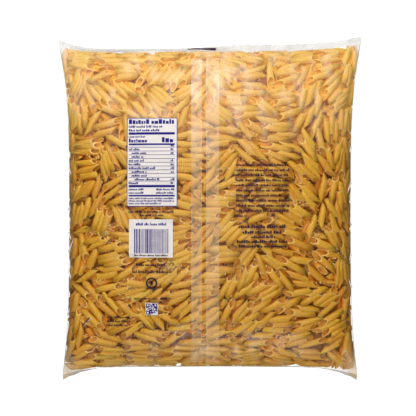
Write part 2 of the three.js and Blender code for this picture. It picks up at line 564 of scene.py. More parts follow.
@dataclass(frozen=True)
class BagForm:
    """The outer form of the filled bag. Across it, s runs from -1 at the left fold to 1 at the right one.
    Along it, v runs from -1 at the root of the bottom seal to 1 at the root of the top one."""

    half_width: float = 191 * MM
    half_length: float = 214 * MM
    thickness: float = 92.6 * MM
    side_height: float = 37 * MM
    seal_height: float = 34 * MM
    top_flare: float = 13.5 * MM
    bottom_flare: float = 8 * MM
    flare_power: float = 3.7
    cross_power: float = 2.9
    length_power: float = 2.5
    base_power: float = 7.0
    base_press: float = 6 * MM
    swell: float = 1.4 * MM
    swell_across: float = 31 * MM
    swell_along: float = 43 * MM
    film_edge: float = 0.8 * MM
    fin_depth: float = 12 * MM
    ear_reach: float = 10 * MM
    ear_lift: float = 6 * MM
    ear_fade: float = 4.0
    top_left_ear_power: float = 9.0
    ear_power: float = 6.0
    top_fin_droop: tuple = (math.radians(65), math.radians(44))
    droop_change: tuple = (-0.12, 0.3)
    bottom_fin_droop: float = math.radians(88)
    ear_droop: float = math.radians(46)
    seal_wave: float = 1.6 * MM
    seal_waves: float = 7.3
    wave_power: float = 8.0
    top_seal_slant: float = 2 * MM
    shift: float = -1 * MM

    def width_at(self, v: Array) -> Array:
        """Half the bag's width at v."""
        flare = np.where(v > 0, self.top_flare, self.bottom_flare)
        return self.half_width + flare * np.minimum(1, np.abs(v)) ** self.flare_power

    def ear_share(self, s: Array, v: Array) -> Array:
        """0 half way along an end seal and 1 at its corners."""
        power = np.where((v > 0) & (s < 0), self.top_left_ear_power, self.ear_power)
        return np.abs(s) ** power

    def edge_height(self, s: Array, v: Array) -> Array:
        """Height of the line where the back and the front meet."""
        lift = self.ear_lift * self.ear_share(s, v) + self.wave(s, v)
        return self.side_height + (self.seal_height - self.side_height + lift) * np.abs(v) ** self.ear_fade

    def wave(self, s: Array, v: Array) -> Array:
        """Waves of an end seal, which die out at its corners."""
        return self.seal_wave * np.sin(self.seal_waves * s + 2 * v) * crown(s, self.wave_power)

    def swelling(self, x: Array, y: Array) -> Array:
        """Slow unevenness of the back."""
        across, along = x / self.swell_across, y / self.swell_along
        return self.swell / 2 * (np.sin(across) * np.sin(along + 2) + np.sin(across / 2 - along))

    def skin(self, s: Array, v: Array, back: Array) -> Array:
        """Places points of the bag's skin.

        Args:
            s: Across the bag.
            v: Along the bag.
            back: Whether each point is on the back sheet.

        Returns:
            One row of coordinates a point.
        """
        x = s * self.width_at(v)
        end = np.abs(v) ** self.ear_fade
        slant = np.where(v > 0, self.top_seal_slant * s * end, 0)
        y = v * self.half_length + np.sign(v) * self.ear_reach * self.ear_share(s, v) * end + slant
        edge = self.edge_height(s, v)
        rise = self.thickness - self.swell - edge + self.swelling(x, y)
        high = edge + self.film_edge / 2 + rise * crown(s, self.cross_power) * crown(v, self.length_power)
        fall = (edge + self.base_press) * crown(s, self.base_power) * crown(v, self.base_power)
        low = np.maximum(0, edge - self.film_edge / 2 - fall)
        return np.stack([x, y + self.shift, np.where(back, high, low)], -1)

    def fin(self, s: Array, v: Array, back: Array, distance: Array) -> Array:
        """Places points of the skin, and beyond it of the end seals' fins.

        Args:
            s: Across the bag.
            v: Along the bag: -1 for the bottom fin and 1 for the top one.
            back: Whether each point is on the back sheet.
            distance: How far out from the root of the seal.

        Returns:
            One row of coordinates a point.
        """
        root = self.skin(s, v, back)
        steep, flat = self.top_fin_droop
        middle = np.where(v > 0, steep + (flat - steep) * ramp(s, *self.droop_change), self.bottom_fin_droop)
        droop = middle + (self.ear_droop - middle) * self.ear_share(s, v)
        root[:, 1] += np.sign(v) * distance * np.cos(droop)
        root[:, 2] -= distance * np.sin(droop)
        return root


@dataclass
class SheetGrid:
    """Both sheets of the bag as one closed box of cells, bent into the bag's form."""

    form: BagForm
    across: int
    along: int
    fin_rows: int = 0
    easing: float = 0.6

    def __post_init__(self) -> None:
        """Makes a box from -1 to 1, whose upper sheet is the back, and works out where its vertices go."""
        self.rows = self.along + 2 * self.fin_rows
        self.box = bmesh.new()
        bmesh.ops.create_grid(self.box, x_segments=self.across, y_segments=self.rows, size=1.0)
        raise_slab(self.box, self.box.faces[:])
        bmesh.ops.recalc_face_normals(self.box, faces=self.box.faces)
        places = np.array([v.co for v in self.box.verts])
        self.back = places[:, 2] > 0
        self.column = np.rint((places[:, 0] + 1) / 2 * self.across).astype(int)
        self.row = np.rint((places[:, 1] + 1) / 2 * self.rows).astype(int)
        row = self.row - self.rows / 2
        beyond = np.clip(np.abs(row) - self.along / 2, 0, None)
        self.s = self.eased(places[:, 0])
        self.v = self.eased(np.clip(row / (self.along / 2), -1, 1))
        self.out = beyond / max(1, self.fin_rows) * self.form.fin_depth
        self.points = self.form.fin(self.s, self.v, self.back, self.out)

    def eased(self, t: Array) -> Array:
        """Spaces the cells closely where the skin curves most."""
        return (1 - self.easing) * t + self.easing * np.sin(np.pi / 2 * t)

    def sheet(self, values: Array, back: bool) -> Array:
        """Lays one sheet's values out in rows and columns.

        Args:
            values: One entry a vertex.
            back: Which sheet.

        Returns:
            The same entries by row and column.
        """
        chosen = self.back == back
        out = np.zeros((self.rows + 1, self.across + 1) + values.shape[1:], values.dtype)
        out[self.row[chosen], self.column[chosen]] = values[chosen]
        return out

    def unsheet(self, laid: Array, back: bool, values: Array) -> None:
        """Writes one sheet's laid out values back to the vertices."""
        chosen = self.back == back
        values[chosen] = laid[self.row[chosen], self.column[chosen]]

    def normals(self, back: bool) -> Array:
        """Outward directions of one sheet, by row and column."""
        along, across = np.gradient(self.sheet(self.points, back), axis=(0, 1))
        return unit(np.cross(across, along) * (1 if back else -1), 1e-12)

    def bend(self) -> BMesh:
        """Moves the box's vertices to their points.

        Returns:
            The box, with its faces pointing out.
        """
        for vertex, point in zip(self.box.verts, self.points):
            vertex.co = point
        bmesh.ops.recalc_face_normals(self.box, faces=self.box.faces)
        return self.box

    def mesh(self, name: str) -> Mesh:
        """Makes a smooth mesh of the bent box.

        Args:
            name: The mesh's name.

        Returns:
            The mesh, closed, with its faces pointing out.
        """
        mesh = mesh_of(self.bend(), name)
        mesh.polygons.foreach_set("use_smooth", np.full(len(mesh.polygons), True))
        return mesh


class DepthField:
    """How deep inside the bag a point is, and which way is inwards."""

    def __init__(self, form: BagForm, pitch: float = 5 * MM) -> None:
        """Measures the depth on a grid.

        Args:
            form: The bag's form.
            pitch: The grid's spacing.
        """
        shell = SheetGrid(form, 56, 64)
        tree = BVHTree.FromBMesh(shell.bend())
        shell.box.free()
        low, high = shell.points.min(0) - 2 * pitch, shell.points.max(0) + 2 * pitch
        self.low, self.pitch = low, pitch
        self.count = np.ceil((high - low) / pitch).astype(int) + 1
        axes = [low[k] + pitch * np.arange(self.count[k]) for k in range(3)]
        places = np.stack(np.meshgrid(*axes, indexing="ij"), -1).reshape(-1, 3)
        depth = np.empty(len(places))
        for i, place in enumerate(places.tolist()):
            near, normal, _, distance = tree.find_nearest(place)
            outside = (place[0] - near[0]) * normal[0] + (place[1] - near[1]) * normal[1]
            outside += (place[2] - near[2]) * normal[2]
            depth[i] = -distance if outside > 0 else distance
        depth = depth.reshape(self.count)
        self.field = np.stack([depth, *np.gradient(depth, pitch)], -1)

    def at(self, points: Array) -> tuple[Array, Array]:
        """Looks points up.

        Args:
            points: One row of coordinates a point.

        Returns:
            Each point's depth, and the unit direction inwards.
        """
        place = np.clip((points - self.low) / self.pitch, 0, self.count - 1.001)
        base = place.astype(int)
        part = place - base
        out = 0
        for corner in range(8):
            step = np.array([corner & 1, corner >> 1 & 1, corner >> 2])
            weight = np.prod(np.where(step, part, 1 - part), 1)
            index = base + step
            out = out + weight[:, None] * self.field[index[:, 0], index[:, 1], index[:, 2]]
        return out[:, 0], unit(out[:, 1:])


@dataclass(frozen=True)
class View:
    """The photo's view: straight down, with the frame's origin under one pixel of it."""

    pixels: float = 416
    scale: float = 1.35 * MM
    middle_px: tuple = (209.9, 207.9)
    focus_height: float = 40 * MM
    distance: float = 1.56

    @property
    def height(self) -> float:
        """The camera's height over the floor."""
        return self.focus_height + self.distance

    def place(self, x_px: Array, y_px: Array, z: Array) -> tuple[Array, Array]:
        """Finds the places along X and Y that pixels show at heights of z."""
        spread = self.scale * (self.height - z) / self.distance
        return (x_px - self.middle_px[0]) * spread, (self.middle_px[1] - y_px) * spread


@dataclass(frozen=True)
class SeenPenne:
    """Penne that lie against the film in the photo, as read off it. Each spot has the piece's middle, in
    pixels from the photo's left and top edges, and the degrees that it rises to the right."""

    spots: tuple = (
        (80, 49, -12), (98, 53, -8), (78, 62, 0), (100, 76, 28), (125, 88, -42), (157, 81, 63),
        (173, 78, 53), (187, 96, 25), (80, 89, 58), (90, 99, -57), (105, 98, -45), (108, 108, -20),
        (140, 109, -50), (158, 108, -45), (178, 108, 40), (130, 55, 4), (165, 57, -6), (120, 66, 12),
        (230, 58, -12), (252, 59, -14), (280, 59, -3), (308, 56, 8), (317, 66, 10), (345, 58, 65),
        (255, 86, 0), (250, 94, -3), (288, 81, 25), (285, 94, 12), (283, 103, 10), (303, 94, 75),
        (311, 93, 80), (318, 78, 25), (318, 103, 65), (330, 87, 45), (337, 95, 42), (338, 104, 35),
        (347, 73, -5), (233, 99, -10), (243, 109, 10), (75, 120, 80), (92, 123, 70), (105, 133, 8),
        (88, 143, 8), (87, 151, 0), (89, 162, 5), (87, 176, 5), (104, 162, -75), (112, 158, -65),
        (121, 158, -50), (120, 143, -30), (113, 182, 30), (110, 195, 32), (83, 192, 50), (98, 188, 65),
        (183, 120, 80), (183, 145, -10), (183, 160, 0), (183, 168, -5), (183, 177, -10), (190, 187, 35),
        (187, 198, -20), (77, 214, 55), (82, 227, 35), (98, 217, 70), (107, 221, 65), (118, 221, -70),
        (85, 249, 60), (92, 262, 65), (113, 246, 20), (113, 259, 15), (110, 268, 12), (127, 274, 25),
        (75, 252, 80), (77, 268, 60), (110, 287, 10), (93, 292, -45), (133, 284, -10), (132, 292, 15),
        (153, 277, 15), (180, 237, 8), (182, 228, 15), (180, 214, -5), (200, 232, 55), (183, 254, 25),
        (183, 274, 40), (183, 284, 5), (177, 294, 20), (270, 121, -8), (273, 129, -8), (273, 138, -3),
        (277, 147, -12), (288, 115, 25), (273, 155, -18), (247, 133, -52), (228, 130, -20), (223, 143, 5),
        (260, 152, -60), (227, 155, 50), (215, 158, 55), (308, 148, -52), (312, 163, -35), (308, 173, -40),
        (305, 183, -35), (308, 191, -50), (317, 125, 62), (310, 115, 68), (320, 142, -75), (327, 130, 88),
        (334, 128, 88), (341, 123, 85), (338, 150, 75), (328, 155, -70), (323, 187, 65), (333, 188, 72),
        (343, 165, 85), (228, 182, 25), (213, 182, 35), (222, 203, -3), (232, 194, 5), (272, 198, -15),
        (215, 212, 3), (260, 217, 22), (295, 219, -25), (299, 210, -35), (323, 216, 75), (335, 226, -65),
        (332, 211, -60), (227, 227, 50), (290, 232, -15), (298, 244, -20), (322, 244, -22), (285, 254, -12),
        (325, 262, -35), (272, 262, -35), (298, 277, -20), (315, 274, -35), (248, 259, 52), (222, 259, 3),
        (222, 271, -5), (253, 271, 60), (260, 287, 30), (267, 292, 30), (273, 277, -60), (285, 281, -50),
        (298, 292, 5), (313, 297, 28), (338, 297, 40), (233, 284, 60), (78, 320, 68), (97, 313, -50),
        (107, 308, -40), (108, 335, -15), (103, 342, -10), (135, 342, 5), (157, 320, -45), (167, 317, -35),
        (143, 318, -50), (183, 327, 8), (172, 338, 50), (167, 350, -12), (113, 355, 10), (83, 353, 35),
        (195, 343, 10), (210, 320, 40), (227, 312, 65), (240, 313, 50), (258, 307, 40), (275, 306, 30),
        (240, 328, 35), (282, 318, 3), (300, 312, -3), (328, 307, 40), (307, 322, 15), (332, 318, 25),
        (334, 327, 20), (337, 336, 20), (267, 333, 0), (258, 343, 5), (233, 345, -25), (313, 343, 10),
        (307, 352, 0), (258, 357, 35), (347, 342, 75),
    )
    view: View = View()
    first_height: float = 80 * MM
    rounds: int = 8

    def laid(self, form: BagForm, depth: float) -> tuple[Array, Array]:
        """Finds where the pieces lie in the bag.

        Args:
            form: The bag's form.
            depth: How far their middle lines are under the film.

        Returns:
            Their middles and their angles.
        """
        x_px, y_px, turn = np.array(self.spots, float).T
        z = np.full(len(turn), self.first_height)
        for _ in range(self.rounds):
            x, y = self.view.place(x_px, y_px, z)
            v = np.clip((y - form.shift) / form.half_length, -0.99, 0.99)
            s = np.clip(x / form.width_at(v), -0.99, 0.99)
            z = form.skin(s, v, np.ones(len(s), bool))[:, 2] - depth
        return np.stack([x, y, z], -1), np.radians(turn)


@dataclass
class PenneHeap:
    """The penne, shaken together against the film. Each is held as the two ends of its middle line."""

    form: BagForm
    depth: DepthField
    seen: SeenPenne = SeenPenne()
    radius: float = 4.85 * MM
    span: float = 30 * MM
    layers: float = 23 * MM
    clearance: float = 0.1 * MM
    count: int = 1900
    tries: int = 6000
    sheaves: int = 260
    sheaf: float = 34 * MM
    sheaf_turn: float = 0.75
    crossing: float = 0.25
    own_turn: float = 0.38
    own_tilt: float = 0.1
    steps: int = 380
    steps_a_search: int = 8
    search: float = 5 * MM
    first_width: float = 0.62
    push: float = 0.62
    first_pull: float = 0.35 * MM
    last_pull: float = 0.05 * MM
    seen_pull: float = 0.5 * MM
    hold: float = 0.3
    rim: float = 0.8
    rim_pull: float = 0.4 * MM
    jolt: float = 0.25 * MM
    seed: int = 7
    held: int = field(init=False)
    ends: Array = field(init=False)
    target: Array = field(init=False)

    def turns(
        self, points: Array, spots: Array, angles: Array, rng: np.random.Generator
    ) -> Array:
        """Gives each piece the direction of the sheaf that it belongs to.

        Args:
            points: The pieces' middles.
            spots: Middles of the pieces that the photo shows.
            angles: Their directions.
            rng: The random numbers.

        Returns:
            The angle from +X, in radians.
        """
        reach = np.array([self.form.half_width, self.form.half_length, self.form.thickness / 2])
        others = (rng.random((self.sheaves, 3)) * 2 - 1) * reach + (0, 0, reach[2])
        far = np.min(np.linalg.norm(others[:, None] - spots[None], axis=-1), 1) > self.sheaf / 2
        others = others[far]
        centres = np.concatenate([spots, others])
        own = rng.normal(0, self.sheaf_turn, len(others))
        own = own + rng.choice([0, math.pi / 2], len(others), p=[1 - self.crossing, self.crossing])
        turn = np.concatenate([angles, own])
        nearest = np.argmin(np.linalg.norm(points[:, None] - centres[None], axis=-1), 1)
        return turn[nearest] + rng.normal(0, self.own_turn, len(points))

    def scatter(self) -> None:
        """Lays out the penne that the photo shows, and drops the others at random in the outer layers."""
        rng = np.random.default_rng(self.seed)
        form = self.form
        spots, angles = self.seen.laid(form, self.radius + self.clearance)
        reach = np.array([form.half_width + form.top_flare, form.half_length, form.thickness])
        found: list[Array] = []
        self.held = len(spots)
        missing = self.count - self.held
        while sum(len(f) for f in found) < missing:
            tries = rng.random((self.tries, 3)) * (2 * reach) - reach
            tries[:, 2] = rng.random(self.tries) * reach[2]
            deep, _ = self.depth.at(tries)
            clear = np.min(np.linalg.norm(tries[:, None] - spots[None], axis=-1), 1) > 1.9 * self.radius
            found.append(tries[clear & (deep > self.radius) & (deep < self.layers - self.radius)])
        others = np.concatenate(found)[:missing]
        turn = np.concatenate([angles, self.turns(others, spots, angles, rng)])
        middle = np.concatenate([spots, others])
        _, inward = self.depth.at(middle)
        level = np.stack([np.cos(turn), np.sin(turn), np.zeros(self.count)], -1)
        level[self.held :, 2] = rng.normal(0, self.own_tilt, missing)
        level -= inward * np.sum(level * inward, 1, keepdims=True) * 0.95
        level /= np.linalg.norm(level, axis=1, keepdims=True)
        self.ends = np.stack([middle - level * self.span / 2, middle + level * self.span / 2], 1)
        self.target = self.ends[: self.held, :, :2].copy()

    def near_pairs(self, reach: float) -> tuple[Array, Array]:
        """Finds penne that may touch.

        Args:
            reach: How near their middle lines have to be.

        Returns:
            The two numbers of each pair.
        """
        middle = self.ends.mean(1)
        square = np.sum(middle**2, 1)
        apart = square[:, None] + square[None] - 2 * middle @ middle.T
        first, second = np.nonzero(np.triu(apart < (self.span + reach) ** 2, 1))
        keep = self.closest(first, second)[0] < reach
        return first[keep], second[keep]

    def closest(self, first: Array, second: Array) -> tuple:
        """Finds where two middle lines pass closest.

        Args:
            first: Numbers of some penne.
            second: Numbers of the others.

        Returns:
            The gap, the unit direction from the second to the first, and the share along each line.
        """
        p, q = self.ends[first], self.ends[second]
        a, b = p[:, 1] - p[:, 0], q[:, 1] - q[:, 0]
        r = p[:, 0] - q[:, 0]
        aa, bb, ab, ar, br = (np.sum(m * n, 1) for m, n in ((a, a), (b, b), (a, b), (a, r), (b, r)))
        along = np.clip((ab * br - ar * bb) / np.maximum(aa * bb - ab * ab, 1e-14), 0, 1)
        other = np.clip((ab * along + br) / bb, 0, 1)
        along = np.clip((ab * other - ar) / aa, 0, 1)
        apart = r + a * along[:, None] - b * other[:, None]
        gap = np.linalg.norm(apart, axis=1)
        return gap, apart / np.maximum(gap, 1e-9)[:, None], along, other

    def push_apart(self, first: Array, second: Array, width: float) -> None:
        """Moves touching penne apart.

        Args:
            first: Numbers of some penne.
            second: Numbers of the others.
            width: How far apart their middle lines should be.
        """
        gap, away, along, other = self.closest(first, second)
        hit = gap < width
        first, second, away = first[hit], second[hit], away[hit]
        along, other = along[hit], other[hit]
        weight = (1 - along) ** 2 + along**2 + (1 - other) ** 2 + other**2
        push = away * (self.push * (width - gap[hit]) / weight)[:, None]
        flat = self.ends.reshape(-1, 3)
        index = np.concatenate([2 * first, 2 * first + 1, 2 * second, 2 * second + 1])
        moves = [push * (1 - along)[:, None], push * along[:, None]]
        moves += [-push * (1 - other)[:, None], -push * other[:, None]]
        moved = np.concatenate(moves)
        for k in range(3):
            flat[:, k] += np.bincount(index, moved[:, k], len(flat))

    def settle(self) -> None:
        """Shakes the penne down until they lie against each other and the film."""
        rng = np.random.default_rng(self.seed + 1)
        self.scatter()
        flat = self.ends.reshape(-1, 3)
        wall = self.radius + self.clearance
        for step in range(self.steps):
            done = step / self.steps
            width = 2 * self.radius * min(1.0, self.first_width + 0.5 * done)
            if step % self.steps_a_search == 0:
                pairs = self.near_pairs(width + self.search)
            self.push_apart(*pairs, width)
            pull = np.full(len(flat), self.first_pull * (1 - done) ** 1.5 + self.last_pull)
            pull[: 2 * self.held] = self.seen_pull
            flat -= self.depth.at(flat)[1] * pull[:, None]
            share = flat[:, :2] / (self.form.half_width, self.form.half_length)
            flat[:, :2] += np.sign(share) * (self.rim_pull * (1 - 0.7 * done) * (np.abs(share) > self.rim))
            deep, inward = self.depth.at(flat)
            low = np.clip(wall - deep, 0, None)
            high = np.clip(deep - (self.layers - self.radius), 0, None)
            flat += inward * (low - 0.5 * high)[:, None]
            if done < 0.5:
                loose = flat[2 * self.held :]
                loose += rng.normal(0, self.jolt * (0.5 - done), loose.shape)
            held = self.ends[: self.held, :, :2]
            held += (self.target - held) * self.hold
            line = self.ends[:, 1] - self.ends[:, 0]
            length = np.linalg.norm(line, axis=1, keepdims=True)
            fix = line * (0.5 * (self.span - length) / length)
            self.ends[:, 0] -= fix
            self.ends[:, 1] += fix
        gap = self.closest(*self.near_pairs(2 * self.radius))[0]
        overlap = (2 * self.radius - gap.min()) / MM
        LOG.info("heap: %d touching pairs, deepest overlap %.2f mm", len(gap), overlap)


@dataclass(frozen=True)
class PenneShape:
    """One of the penne: a tube with both ends cut on the same slant, lying along X."""

    radius: float = 4.8 * MM
    wall: float = 1.1 * MM
    length: float = 43 * MM
    cut: float = 1.55
    sides: int = 14
    rim_bevel: float = 0.3 * MM

    def build(self) -> Mesh:
        """Builds the tube with square ends, which are slanted as it is laid.

        Returns:
            A closed mesh with marks on its cut rims and its bore, and a map along and round it.
        """
        tube = bmesh.new()
        reach = self.length / 2 - self.radius * self.cut
        bmesh.ops.create_circle(tube, segments=self.sides, radius=self.radius)
        bmesh.ops.rotate(tube, verts=tube.verts, matrix=Matrix.Rotation(math.radians(90), 3, "Y"))
        bmesh.ops.translate(tube, verts=tube.verts, vec=(-reach, 0, 0))
        edges = tube.edges[:]
        for _ in range(2):
            grown = bmesh.ops.extrude_edge_only(tube, edges=edges)["geom"]
            moved = [g for g in grown if isinstance(g, bmesh.types.BMVert)]
            bmesh.ops.translate(tube, verts=moved, vec=(reach, 0, 0))
            edges = [g for g in grown if isinstance(g, bmesh.types.BMEdge)]
        bmesh.ops.recalc_face_normals(tube, faces=tube.faces)
        bmesh.ops.solidify(tube, geom=tube.faces[:], thickness=self.wall)
        bmesh.ops.recalc_face_normals(tube, faces=tube.faces)
        mid_wall = self.radius - self.wall / 2
        sharp = [e for e in tube.edges if abs(e.calc_face_angle(0)) > 1]
        outer = [e for e in sharp if all(v.co.yz.length > mid_wall for v in e.verts)]
        bmesh.ops.bevel(
            tube, geom=outer, offset=self.rim_bevel, segments=1, profile=0.5, affect="EDGES", material=-1
        )
        rim = tube.faces.layers.float.new("rim")
        bore = tube.faces.layers.float.new("bore")
        chart = tube.loops.layers.uv.new("UVMap")
        for face in tube.faces:
            centre = face.calc_center_median()
            face[rim] = float(abs(face.normal.x) > 0.5)
            face[bore] = float(centre.yz.length < self.radius - self.wall and face[rim] < 1)
            middle = math.atan2(centre.z, centre.y)
            for loop in face.loops:
                turn = math.atan2(loop.vert.co.z, loop.vert.co.y) - middle
                turn = middle + (turn + math.pi) % math.tau - math.pi
                loop[chart].uv = (loop.vert.co.x / self.length, turn / math.tau)
        return mesh_of(tube, "penne_shape")


@dataclass
class PenneMaker:
    """Lays copies of the tube along the heap's middle lines, each a little different."""

    heap: PenneHeap
    shape: PenneShape = PenneShape()
    floor_gap: float = 0.9 * MM
    roof_gap: float = 1.2 * MM
    skin_gap: float = 0.4 * MM
    most_in: float = 8 * MM
    map_step: float = 37.0
    seed: int = 11

    def __post_init__(self) -> None:
        """Draws each piece's own size, bend, roll and tone."""
        rng = np.random.default_rng(self.seed)
        count = len(self.heap.ends)
        self.roll = rng.choice([0, math.pi], count) + rng.normal(0, 0.75, count)
        self.width = rng.uniform(0.94, 1.07, count)
        self.reach = rng.uniform(0.92, 1.04, count)
        self.slant = self.shape.cut * rng.uniform(0.8, 1.12, count)
        self.oval = rng.normal(0, 0.05, count)
        self.bend = rng.normal(0, 0.35 * MM, count)
        self.tone = np.clip(rng.normal(0.5, 0.24, count), 0, 1)

    def laid(self, mesh: Mesh, chosen: Array) -> Array:
        """Places the tube's points for some of the penne.

        Args:
            mesh: The tube.
            chosen: The numbers of the penne.

        Returns:
            Coordinates, by piece and point.
        """
        tube = read(mesh.vertices, "co", 3)
        ends = self.heap.ends[chosen]
        along = ends[:, 1] - ends[:, 0]
        along /= np.linalg.norm(along, axis=1, keepdims=True)
        side = unit(np.cross(along, (0.0, 0.0, 1.0)))
        over = np.cross(side, along)
        drawn = (self.roll, self.width, self.oval, self.reach, self.slant, self.bend)
        roll, width, oval, reach, slant, bend = (own[chosen][:, None] for own in drawn)
        first = side * np.cos(roll) + over * np.sin(roll)
        second = np.cross(along, first)
        y = tube[:, 1] * width * (1 + oval)
        z = tube[:, 2] * width * (1 - oval)
        x = tube[:, 0] * reach + z * slant
        z = z + bend * (1 - 2 * (x / (self.shape.length / 2)) ** 2)
        parts = ((x, along), (y, first), (z, second))
        return ends.mean(1)[:, None] + sum(part[..., None] * way[:, None] for part, way in parts)

    def build(self, name: str, chosen: Array, sides: int) -> Mesh:
        """Joins copies of the tube into one mesh.

        Args:
            name: The mesh's name.
            chosen: The numbers of the penne.
            sides: How many sides each tube has.

        Returns:
            The joined mesh, with the marks that the pasta's finish reads.
        """
        tube = replace(self.shape, sides=sides).build()
        count, faces = len(chosen), len(tube.polygons)
        form = self.heap.form
        places = self.laid(tube, chosen).reshape(-1, 3)
        deep, inward = self.heap.depth.at(places)
        places += inward * np.clip(self.skin_gap - deep, 0, self.most_in)[:, None]
        places[:, 2] = np.clip(places[:, 2], self.floor_gap, CAD_BOX[1][2] - self.roof_gap)
        mesh = join_copies(name, tube, places.reshape(count, -1, 3))
        chart = read(tube.uv_layers["UVMap"].data, "uv", 2)
        own = chart[None] + (self.tone[chosen] * self.map_step)[:, None, None]
        mesh.uv_layers.new(name="UVMap").data.foreach_set("uv", own.ravel())
        for mark in ("rim", "bore"):
            add_mark(mesh, mark, np.tile(read(tube.attributes[mark].data, "value"), count), "FACE")
        add_mark(mesh, "tint", np.repeat(self.tone[chosen], faces), "FACE")
        v = places[:, 1] / form.half_length
        beside = np.abs(places[:, 0]) / form.width_at(v)
        # Painted shade: the mask that darkens the pasta deeper under the film
        add_mark(mesh, "deep", ramp(deep, 1.5 * MM, 7 * MM))
        # Painted light: the mask that lightens the pasta towards the bag's top and makes it glow
        add_mark(mesh, "painted_top_light", ramp(v, 0.3, 0.45))
        # Painted shade: the mask that darkens the pasta along the bag's sides, away from its top
        add_mark(mesh, "edge", ramp(beside, 0.92, 0.06) * ramp(-v, -0.55, 0.3))
        mesh.update(calc_edges=True)
        mesh.validate()
        mesh.polygons.foreach_set("use_smooth", read(mesh.attributes["rim"].data, "value") < 0.5)
        bpy.data.meshes.remove(tube)
        return mesh


@dataclass
class DeepCore:
    """Painted shade: a closed dark mass inside the outer layers, which ends the view between the penne."""

    form: BagForm
    depth: float = 19 * MM
    least: float = 1 * MM
    # Reaching almost to the side folds, the core also puts painted shade in the strip between the penne and
    # the film's edge
    inset_across: float = 0.988
    inset_along: float = 0.9

    def build(self) -> Mesh:
        """Builds the core.

        Returns:
            A closed mesh.
        """
        grid = SheetGrid(self.form, 48, 54)
        flat = np.ones(len(grid.s), bool)
        s, v = grid.s * self.inset_across, grid.v * self.inset_along
        high, low = self.form.skin(s, v, flat), self.form.skin(s, v, ~flat)
        middle = (high[:, 2] + low[:, 2]) / 2
        room = np.maximum((high[:, 2] - low[:, 2]) / 2 - self.depth, self.least)
        high[:, 2] = middle + np.where(grid.back, room, -room)
        grid.points = high
        return grid.mesh("painted_shade_core")


@dataclass
class FilmSkin:
    """The film: drawn down between the penne that it lies on, with flat ribbed fins at its ends."""

    form: BagForm
    across: int = 166
    along: int = 184
    fin_rows: int = 7
    lift: float = 6 * MM
    deepest: float = 12 * MM
    clearance: float = 0.45 * MM
    pull: float = 0.11 * MM
    passes: int = 160
    most_out: float = 2.2 * MM
    most_of_gap: float = 0.42
    wrinkle: float = 0.5 * MM
    wrinkle_lengths: tuple = (2.6 * MM, 17 * MM)
    cloud_width: float = 38 * MM
    print_room: float = 0.75 * MM

    def room(self, grid: SheetGrid, tree: BVHTree, back: bool) -> Array:
        """Measures how far the film can sink at each point.

        Args:
            grid: The sheets.
            tree: The surface under the film.
            back: Which sheet.

        Returns:
            Depths by row and column.
        """
        laid, normal = grid.sheet(grid.points, back), grid.normals(back)
        other = grid.sheet(grid.points, not back)
        starts = (laid + normal * self.lift).reshape(-1, 3).tolist()
        ways = (-normal).reshape(-1, 3).tolist()
        room = np.full(len(starts), self.deepest)
        for i, (start, way) in enumerate(zip(starts, ways)):
            distance = tree.ray_cast(start, way, self.lift + self.deepest)[3]
            if distance is not None:
                room[i] = distance - self.lift - self.clearance
        room = np.maximum(room.reshape(laid.shape[:2]), -self.most_out)
        room = np.minimum(room, 0.4 * room + 0.6 * np.minimum.reduce(neighbours(room)))
        gap = np.linalg.norm(laid - other, axis=-1)
        return np.minimum(room, self.most_of_gap * (gap - self.form.film_edge))

    def sunk(self, room: Array, share: Array) -> Array:
        """Draws the film down like a taut sheet under even pressure.

        Args:
            room: How far it can sink, by row and column.
            share: How much of the pressure each row takes up.

        Returns:
            How far it sinks.
        """
        depth = room.copy()
        pull = (self.pull * share)[:, None]
        for _ in range(self.passes):
            depth = np.minimum(room, sum(neighbours(depth)) / 4 + pull)
        return depth

    def marks(self, grid: SheetGrid) -> dict:
        """Works out the named numbers that the film's finish reads.

        Args:
            grid: The sheets, in place.

        Returns:
            Arrays by name: how far out on a fin, milky, slack, in the lower half, warm and clouded. Slack,
                lower half and clouded also place the haze's painted warm glare.
        """
        top, end, side = grid.v > 0, np.abs(grid.v), np.abs(grid.s)
        # Where the film is slack it is hazier, with a painted warm glare
        slack = ramp(end, np.where(top, 0.3, 0.74), np.where(top, 0.4, 0.26))
        ear = ramp(end**9 + side**16, 1.0, 0.5)
        seal = np.where(top, ramp(end, 0.98, 0.02), ramp(grid.out, 0, 2.5 * MM))
        near_middle = np.exp(-((grid.points[:, 0] / self.cloud_width) ** 2))
        return {
            "out": grid.out / MM,
            "milk": np.maximum(seal, np.where(top, ear, 0.55 * ear)),
            "slack": slack * grid.back,
            "low": (grid.v < 0).astype(float),
            "warm": np.where(top, 0, ramp(end**6 + side**12, 1.0, 0.7)),
            "cloud": 0.7 * slack * grid.back * near_middle,
        }

    def build(self, tree: BVHTree) -> Mesh:
        """Builds the film.

        Args:
            tree: The surface of the penne and the core, which the film lies on.

        Returns:
            A closed mesh with its marks.
        """
        highest = [*CAD_BOX[1][:2], CAD_BOX[1][2] - self.print_room]
        grid = SheetGrid(self.form, self.across, self.along, self.fin_rows)
        points = grid.points.copy()
        for back in (True, False):
            share = 1 - 0.6 * ramp(np.abs(grid.sheet(grid.v, back)[:, 0]), 0.5, 0.3)
            depth = self.sunk(self.room(grid, tree, back), share)
            laid = grid.sheet(grid.points, back)
            if not back:
                depth *= ramp(laid[..., 2], 1 * MM, 6 * MM)
            depth[: self.fin_rows] = depth[-self.fin_rows :] = 0
            moved = laid - grid.normals(back) * depth[..., None]
            grid.unsheet(np.clip(moved, CAD_BOX[0], highest), back, points)
        short, long = (np.sin(grid.points[:, 0] / length) for length in self.wrinkle_lengths)
        points[:, 1] += short * long * self.wrinkle * grid.out / self.form.fin_depth
        grid.points = np.clip(points, CAD_BOX[0], highest)
        marks = self.marks(grid)
        mesh = grid.mesh("clear_film")
        for name, values in marks.items():
            add_mark(mesh, name, values)
        return mesh


